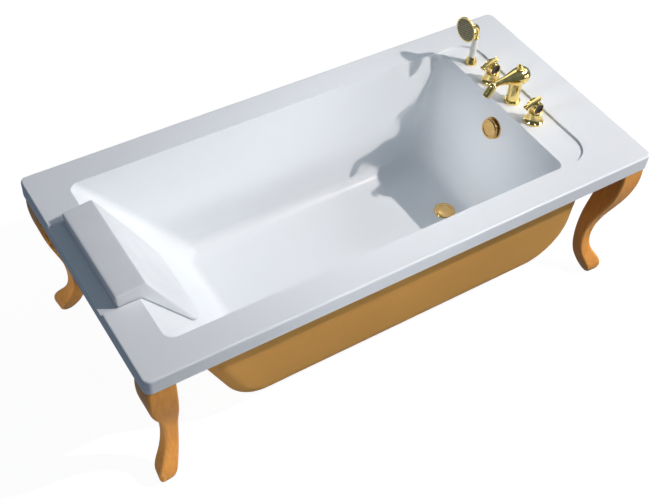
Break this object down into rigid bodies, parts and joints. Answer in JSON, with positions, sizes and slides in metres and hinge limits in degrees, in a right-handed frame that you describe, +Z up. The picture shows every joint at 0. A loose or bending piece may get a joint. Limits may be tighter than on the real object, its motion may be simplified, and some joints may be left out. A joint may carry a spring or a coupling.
{
  "type": "freestanding bathtub",
  "caption": "Rectangular acrylic bathtub in a painted casing on cabriole legs, with deck taps, spout, hand shower, pop-up waste and a soft headrest.",
  "frame": {"origin": "on the floor, under the middle of the rim", "axes": "+X to the tap end, -Y to the near long side, +Z up"},
  "size_m": [1.7, 0.812, 0.7429],
  "materials": {
    "acrylic": "glossy white sanitary acrylic",
    "casing_paint": "smooth satin gold paint on a moulded casing",
    "leg_lacquer": "turned and carved timber under satin gold lacquer",
    "timber": "bare planed timber",
    "board": "bare pressed board",
    "gold": "polished, warm gold",
    "raw_brass": "plain, unpolished",
    "steel": "zinc-plated, dull",
    "porcelain": "glossy white glaze",
    "pad": "soft matte white skin over foam",
    "black_rubber": "matte black",
    "spray_face": "dull olive bronze with fine cross-hatching"
  },
  "bodies": {
    "bath": {"base_board": "board", "bath_shell": "acrylic", "bearer_head": "timber", "bearer_tap": "timber", "casing_flange": "casing_paint", "casing_screws": "steel", "cold_bell": "gold", "cold_crossover": "raw_brass", "cold_valve": "raw_brass", "foot_pad_far_head": "black_rubber", "foot_pad_far_tap": "black_rubber", "foot_pad_near_head": "black_rubber", "foot_pad_near_tap": "black_rubber", "frame_rail_far": "timber", "frame_rail_head": "timber", "frame_rail_near": "timber", "frame_rail_tap": "timber", "hot_bell": "gold", "hot_crossover": "raw_brass", "hot_valve": "raw_brass", "leg_bolts": "steel", "leg_far_head": "leg_lacquer", "leg_far_tap": "leg_lacquer", "leg_near_head": "leg_lacquer", "leg_near_tap": "leg_lacquer", "leg_plate_far_head": "steel", "leg_plate_far_tap": "steel", "leg_plate_near_head": "steel", "leg_plate_near_tap": "steel", "outer_casing": "casing_paint", "overflow_bezel": "gold", "overflow_body": "raw_brass", "overflow_gasket": "black_rubber", "overflow_pipe": "raw_brass", "popup_cable": "steel", "shower_ferrule": "gold", "shower_nut": "raw_brass", "spout_aerator": "spray_face", "spout_body": "gold", "spout_column": "gold", "spout_nozzle": "gold", "spout_shank": "raw_brass", "valve_nuts": "raw_brass", "waste_body": "raw_brass", "waste_flange": "gold", "waste_gasket": "black_rubber"},
    "cold_turn": {"cold_handle": "gold", "cold_spindle": "raw_brass"},
    "hot_turn": {"hot_handle": "gold", "hot_spindle": "raw_brass"},
    "diverter": {"diverter_knob": "gold"},
    "hand_shower": {"shower_handle": "porcelain", "shower_collar": "gold", "shower_elbow": "gold", "shower_head": "gold", "shower_face": "spray_face"},
    "overflow_dial": {"overflow_knob": "gold"},
    "plug": {"waste_plug": "gold"},
    "rest": {"headrest": "pad"}
  },
  "joints": [
    {"name": "cold_handle_turn", "type": "hinge", "parent": "bath", "child": "cold_turn", "pos_m": [0.628, -0.1, 0.6], "axis": [0, 0, 1], "range_deg": [0, 90]},
    {"name": "hot_handle_turn", "type": "hinge", "parent": "bath", "child": "hot_turn", "pos_m": [0.628, 0.116, 0.6], "axis": [0, 0, -1], "range_deg": [0, 90]},
    {"name": "diverter_lift", "type": "slide", "parent": "bath", "child": "diverter", "axis": [0, 0, 1], "range_m": [0, 0.01]},
    {"name": "overflow_knob_turn", "type": "hinge", "parent": "bath", "child": "overflow_dial", "pos_m": [0.56478, 0, 0.465], "axis": [-0.9877, 0, 0.1561], "range_deg": [0, 90]},
    {"name": "plug_lift", "type": "slide", "parent": "bath", "child": "plug", "axis": [0, 0, 1], "range_m": [0, 0.01]},
    {"name": "hand_shower_lift", "type": "slide", "parent": "bath", "child": "hand_shower", "axis": [0, 0, 1], "range_m": [0, 0.15]},
    {"name": "headrest_lift", "type": "slide", "parent": "bath", "child": "rest", "axis": [0, 0, 1], "range_m": [0, 0.06]}
  ],
  "couplings": [
    {"joint": "plug_lift", "follows": "overflow_knob_turn", "m_per_rad": 0.006366}
  ]
}
